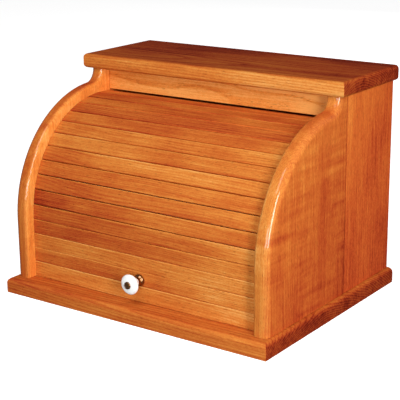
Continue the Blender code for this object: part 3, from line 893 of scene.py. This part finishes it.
def slat_frame(number):
    """A slat's place on the track: the middle of its back, its upward direction and its width."""
    if number <= TAIL:
        high = TAIL_HINGES[number - 1]
        low_z = SIDE_LOW.z if number == 1 else TAIL_HINGES[number - 2].z
        width = high.z - low_z
        return Vector((0, high.y, high.z - width / 2)), Z_AXIS, width
    start = ARC_START_DEG + (number - TAIL - 1) * SLAT_ANGLE
    low = Vector((0, *on_arc(HINGE_RADIUS, start)))
    high = Vector((0, *on_arc(HINGE_RADIUS, start + SLAT_ANGLE)))
    return (low + high) / 2, (high - low).normalized(), PITCH


def body_of_slat(number):
    return "tambour" if number > TAIL else f"slat_{number}"


SLAT_LOW, SLAT_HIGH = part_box("tambour_slat_04")
SLAT_THICK = SLAT_HIGH.y - SLAT_LOW.y
SLAT_HALF = SLAT_HIGH.x


def slat_shape(width, tongues):
    """A slat drawn flat: x along it, its back at y = 0 and its face, with rounded long edges, towards -y.

    The face is cut along each edge, so that the tone can change there.
    """
    half = width / 2 - SLAT_GAP
    mesh = block((-SLAT_HALF, -SLAT_THICK, -half), (SLAT_HALF, 0, half))

    def outer_long_edge(a, b):
        return max(a.y, b.y) < TINY - SLAT_THICK and abs(a.z - b.z) < TINY

    round_edges(mesh, outer_long_edge, SLAT_ROUND, 4)
    ease_edges(mesh, 0.0003, 2)
    mesh.normal_update()
    cut = half - SLAT_ROUND - SLAT_EDGE
    for place in (cut, -cut):
        geometry = mesh.verts[:] + mesh.edges[:] + mesh.faces[:]
        bmesh.ops.bisect_plane(mesh, geom=geometry, plane_co=(0, 0, place), plane_no=(0, 0, 1))
    piece = make_piece("slat_shape", mesh)
    if tongues:
        for side in (-1, 1):
            near, far = sorted((side * (SLAT_HALF - TONGUE_ROOT), side * (SLAT_HALF + TONGUE_LONG)))
            low, high = (near, -TONGUE_IN - TONGUE_THICK, -TONGUE_HALF), (far, -TONGUE_IN, TONGUE_HALF)
            carve(piece, ease_edges(block(low, high), 0.0003, 2), "UNION")
    return piece


# Each slat's tone, from the lowest up to the one that ends behind the rail: partly the slat's own and
# partly painted shade for the way it faces the lamps
SLAT_TONES = (
    *(0.29, 0.31, 0.33, 0.43, 0.45, 0.46),
    *(0.45, 0.40, 0.38, 0.32, 0.32, 0.40),
    *(0.58, 0.56, 0.50, 0.46, 0.46),
)
# How far from the pith the slats are cut, which they take by turns
SLAT_CUTS = ((0.10, 0.05), (0.06, 0.09), (0.13, 0.03), (0.05, 0.07))
EVEN_SLATS = (9, 10, 11)  # the ones on which the painted shade changes little from left to right


def make_slats(material):
    """Slat 1 is wider, those below the arc have no tongues, and slat KNOB_SLAT has the knob's bolt hole."""
    flat = {
        "bottom": slat_shape(slat_frame(1)[2], False),
        "tail": slat_shape(PITCH, False),
        "arc": slat_shape(PITCH, True),
    }
    for number in range(1, SLATS + 1):
        kind = "bottom" if number == 1 else "tail" if number <= TAIL else "arc"
        middle, upward, width = slat_frame(number)
        piece = bpy.data.objects.new(f"oak_slat_{number:02d}", flat[kind].data.copy())
        bpy.context.scene.collection.objects.link(piece)
        basis = Matrix((X_AXIS, upward.cross(X_AXIS), upward)).transposed()
        piece.data.transform(Matrix.Translation(middle) @ basis.to_4x4())
        if number == KNOB_SLAT:
            low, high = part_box("knob_screw")
            start = Vector((0, SLAT_LOW.y - BITE, (low.z + high.z) / 2))
            carve(piece, drilled(start, Y_AXIS, BOLT_HOLE, SLAT_THICK + 2 * BITE))
        set_grain(piece, X_AXIS, upward, SLAT_CUTS[number % 4], middle)
        # painted shade: darker towards the left
        slope = -0.3 if number in EVEN_SLATS else -0.9
        # a factor that paints light, brighter on the slats above the tenth
        shade = 0.80 + 0.027 * max(0, number - 10)
        set_tone_and_painted_light(piece, SLAT_TONES[number - 1], slope=(slope, 0, 0), shade=shade)
        # painted shade on the lower long edge, by a random amount, and a painted highlight on the upper one
        paint_seam_light_and_shade(piece, middle, upward, width, 0.04 + 0.16 * random.Random(number).random())
        finish_piece(piece, material, body_of_slat(number), [f"tambour_slat_{number:02d}"])
    for piece in flat.values():
        bpy.data.objects.remove(piece)


def make_canvas(material):
    """The cloth glued to the slats' backs: a strip on the arc and a patch on each of the lowest slats."""
    low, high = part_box("canvas_arc")
    count = SLATS - TAIL
    flatness = math.cos(math.radians(SLAT_ANGLE / 2))
    end = ARC_START_DEG + count * SLAT_ANGLE
    outline = arc_points(HINGE_RADIUS - CANVAS_GAP / flatness, ARC_START_DEG, end, count)
    depth = (CANVAS_GAP + CANVAS_THICK) / flatness
    outline += arc_points(HINGE_RADIUS - depth, ARC_START_DEG, end, count)[::-1]
    strip = make_piece("canvas_strip", prism(outline, 0, low.x, high.x))
    set_grain(strip, X_AXIS, Z_AXIS, (0, 0))
    finish_piece(strip, material, "tambour", ["canvas_arc"])
    for number in range(TAIL, 0, -1):
        low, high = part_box(f"canvas_{number:02d}")
        patch = make_piece(f"canvas_patch_{number}", block(low, high))
        if number == KNOB_SLAT:
            nut_low, nut_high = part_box("knob_nut")
            start = (nut_low + nut_high) / 2
            start.y = low.y - BITE
            carve(patch, turned([(0, NUT_WINDOW), (3 * BITE, NUT_WINDOW)], start, Y_AXIS, 40))
        set_grain(patch, X_AXIS, Z_AXIS, (0, 0))
        finish_piece(patch, material, body_of_slat(number), [f"canvas_{number:02d}"])


# ---------------------------------------------------------------- knob


KNOB_LOW, KNOB_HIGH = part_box("knob_ceramic")
KNOB_FOOT = Vector((0, SLAT_LOW.y, (KNOB_LOW.z + KNOB_HIGH.z) / 2))  # where its axis meets the slat's face
KNOB_BODY = body_of_slat(KNOB_SLAT)


def reach(node):
    """How far before the slat's face a node of the knob begins and ends."""
    low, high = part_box(node)
    return KNOB_FOOT.y - high.y, KNOB_FOOT.y - low.y


def make_knob(material):
    """The porcelain knob, which is hollow for its bolt."""
    start, end = reach("knob_ceramic")
    skin = [
        (start + 0.0003, 0.0053),
        (start + 0.0027, 0.0058),
        (start + 0.0057, 0.0081),
        (start + 0.0080, 0.0109),
        (start + 0.0100, 0.0122),
        (start + 0.0118, 0.0119),
        (start + 0.0134, 0.0100),
        (end - 0.0003, 0.0068),
        (end, 0.0050),
    ]
    outline = [(start, BOLT_HOLE), (start, 0.0050)] + smooth_line(skin, 6) + [(end, BOLT_HOLE)]
    knob = make_piece("porcelain_knob", turned(outline, KNOB_FOOT, -Y_AXIS, 72, closed=True))
    finish_piece(knob, material, KNOB_BODY, ["knob_ceramic"], 50)


def make_collar(material):
    """The brass collar between the slat and the knob."""
    near, far = reach("knob_ferrule")
    flange = [(near + 0.0003, 0.0073), (near + 0.0014, 0.0073), (near + 0.0026, 0.0068)]
    flange += [(near + 0.0040, 0.0055)]
    neck = [(near + 0.0046, 0.0050), (far - 0.0018, 0.0049), (far - 0.0008, 0.0052), (far, 0.0051)]
    outline = [(near, BOLT_HOLE), (near, 0.0070)] + smooth_line(flange, 5) + smooth_line(neck, 5)
    outline += [(far, BOLT_HOLE)]
    collar = make_piece("brass_collar", turned(outline, KNOB_FOOT, -Y_AXIS, 64, closed=True))
    finish_piece(collar, material, KNOB_BODY, ["knob_ferrule"], 40)


def make_bolt(material):
    """The bolt through the knob and its slat, with a domed head in the middle of the knob's face."""
    tail, tip = reach("knob_screw")
    head = tip - 0.0021
    dome = [(head + 0.0002, 0.0046), (head + 0.0010, 0.0042), (head + 0.0017, 0.0027), (tip, 0.0008)]
    outline = [(tail, 0), (tail, 0.0016), (tail + 0.0005, 0.002), (head, 0.002), (head, 0.0044)]
    outline += smooth_line(dome, 5) + [(tip, 0)]
    bolt = make_piece("brass_bolt", turned(outline, KNOB_FOOT, -Y_AXIS, 56))
    finish_piece(bolt, material, KNOB_BODY, ["knob_screw"], 50)


def make_nut(material):
    """The hexagonal nut on the bolt, behind the slat."""
    low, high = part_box("knob_nut")
    radius = max(high.x - low.x, high.z - low.z) / 2
    corners = [math.radians(60 * i) for i in range(6)]
    outline = [(radius * math.cos(angle), KNOB_FOOT.z + radius * math.sin(angle)) for angle in corners]
    nut = make_piece("brass_nut", ease_edges(prism(outline, 1, low.y, high.y), 0.0003, 2))
    start = Vector((0, low.y - BITE, KNOB_FOOT.z))
    carve(nut, drilled(start, Y_AXIS, BOLT_HOLE, high.y - low.y + 2 * BITE))
    finish_piece(nut, material, KNOB_BODY, ["knob_nut"])


# ---------------------------------------------------------------- studio


# The camera's place in metres, and its angles in degrees
CAMERA_PLACE = (0.8305, -1.1652, 0.5313)
CAMERA_AZIMUTH = 35.497
CAMERA_ELEVATION = 16.218
CAMERA_ROLL = -0.584
CAMERA_LENS = 107.62

# Each light's azimuth to the right of the front, elevation, distance, width and height, and power
LIGHTS = (
    ("key", 26, 8, 2.0, (0.7, 0.5), 12),
    ("side", 56, 15, 2.0, (0.4, 1.3), 31),
    ("rear", 183, 4, 2.6, (1.2, 0.8), 16),
    ("overhead", 12, 55, 2.0, (1.0, 0.8), 17),
)
WORLD_LIGHT = 0.20
FLOOR_RADIUS = 8.0
FLOOR_Z = -0.0003
FLOOR_GLOW = 0.74
BACKDROP_RADIUS = 9.0
BACKDROP_WHITE = (0.92, 0.92, 0.92, 1.0)


def direction(azimuth, elevation):
    """The direction from the box to a place at an azimuth to the right of its front, and an elevation."""
    azimuth, elevation = math.radians(azimuth), math.radians(elevation)
    level = math.cos(elevation)
    return Vector((math.sin(azimuth) * level, -math.cos(azimuth) * level, math.sin(elevation)))


def make_camera():
    back = direction(CAMERA_AZIMUTH, CAMERA_ELEVATION)
    right = (-back).cross(Z_AXIS).normalized()
    up = right.cross(-back)
    roll = Matrix.Rotation(math.radians(CAMERA_ROLL), 3, back)
    basis = Matrix((roll @ right, roll @ up, back)).transposed()
    data = bpy.data.cameras.new("camera")
    data.lens = CAMERA_LENS
    data.sensor_width = 36.0
    data.clip_start = 0.05
    camera = bpy.data.objects.new("camera", data)
    camera.matrix_world = Matrix.Translation(CAMERA_PLACE) @ basis.to_4x4()
    bpy.context.scene.collection.objects.link(camera)
    bpy.context.scene.camera = camera


def make_floor():
    """A pale floor that glows a little for the camera alone, so that it stays white between the lights."""
    mesh = bmesh.new()
    bmesh.ops.create_circle(mesh, cap_ends=True, segments=96, radius=FLOOR_RADIUS)
    floor = make_piece("floor", mesh)
    floor.location.z = FLOOR_Z
    n = Nodes("pale_floor")
    place = n.add("ShaderNodeTexCoord", {}).outputs["Object"]
    cloud = n.noise(place, (1.2, 1.2, 1.2), 2.0, 0.5)
    n.shader.inputs["Emission Color"].default_value = (1.0, 1.0, 1.0, 1.0)
    colour = n.ramp(cloud, ((0.0, (243, 243, 243)), (1.0, (248, 248, 248))))
    floor.data.materials.append(n.finish(colour, 0.9, Emission_Strength=FLOOR_GLOW, Specular_IOR_Level=0.1))
    floor.visible_diffuse = False
    floor.visible_glossy = False


def make_backdrop():
    """A white dome that the camera sees behind the box. It lights nothing and shows in no reflection."""
    mesh = bmesh.new()
    bmesh.ops.create_uvsphere(mesh, u_segments=64, v_segments=32, radius=BACKDROP_RADIUS)
    dome = make_piece("backdrop", mesh)
    n = Nodes("white_backdrop")
    n.shader.inputs["Emission Color"].default_value = BACKDROP_WHITE
    black = (0.0, 0.0, 0.0, 1.0)
    dome.data.materials.append(n.finish(black, 1.0, Emission_Strength=1.0, Specular_IOR_Level=0.0))
    dome.visible_diffuse = False
    dome.visible_glossy = False
    dome.visible_transmission = False
    dome.visible_shadow = False


def make_light(name, azimuth, elevation, distance, size, power):
    """A rectangular light that looks at the box's middle."""
    outward = direction(azimuth, elevation)
    data = bpy.data.lights.new(name, "AREA")
    data.shape = "RECTANGLE"
    data.size, data.size_y = size
    data.energy = power
    light = bpy.data.objects.new(name, data)
    light.location = BOX_MIDDLE + outward * distance
    light.rotation_mode = "QUATERNION"
    light.rotation_quaternion = (-outward).to_track_quat("-Z", "Y")
    bpy.context.scene.collection.objects.link(light)


def make_studio():
    world = bpy.data.worlds.new("studio")
    world.use_nodes = True
    background = world.node_tree.nodes["Background"]
    background.inputs["Color"].default_value = (1.0, 1.0, 1.0, 1.0)
    background.inputs["Strength"].default_value = WORLD_LIGHT
    bpy.context.scene.world = world
    for light in LIGHTS:
        make_light(*light)
    bpy.context.scene.view_settings.view_transform = "Standard"


# ---------------------------------------------------------------- build


def main():
    board_oak = oak("oak_boards", 0.0030)
    sides = {"streaks": 0.4, "joint": JOINT_Y, "gloss": 0.03}
    front_oak = oak("oak_side_fronts", 0.0024, ring=0.06, bands=0.2, curl=0.55, **sides)
    rear_oak = oak("oak_side_rears", 0.0018, ring=0.1, bands=0.15, **sides)
    slat_oak = oak("oak_slats", 0.0019, ring=0.1, streaks=0.55, clouds=0.8, pores=900.0)
    make_base(board_oak)
    make_top(board_oak)
    make_rail(board_oak)
    for name, sign in (("left", -1), ("right", 1)):
        make_side_front(name, sign, front_oak)
        make_side_rear(name, sign, rear_oak)
    make_back(plywood("back_veneer"))
    make_screws(zinc_steel("zinc_steel"))
    make_dowels(bare_wood("dowel_wood"))
    make_slats(slat_oak)
    make_canvas(canvas("canvas_cloth"))
    make_knob(porcelain("white_porcelain"))
    metal = brass("aged_brass")
    make_collar(metal)
    make_bolt(metal)
    make_nut(metal)
    make_floor()
    make_backdrop()
    make_studio()
    make_camera()


main()
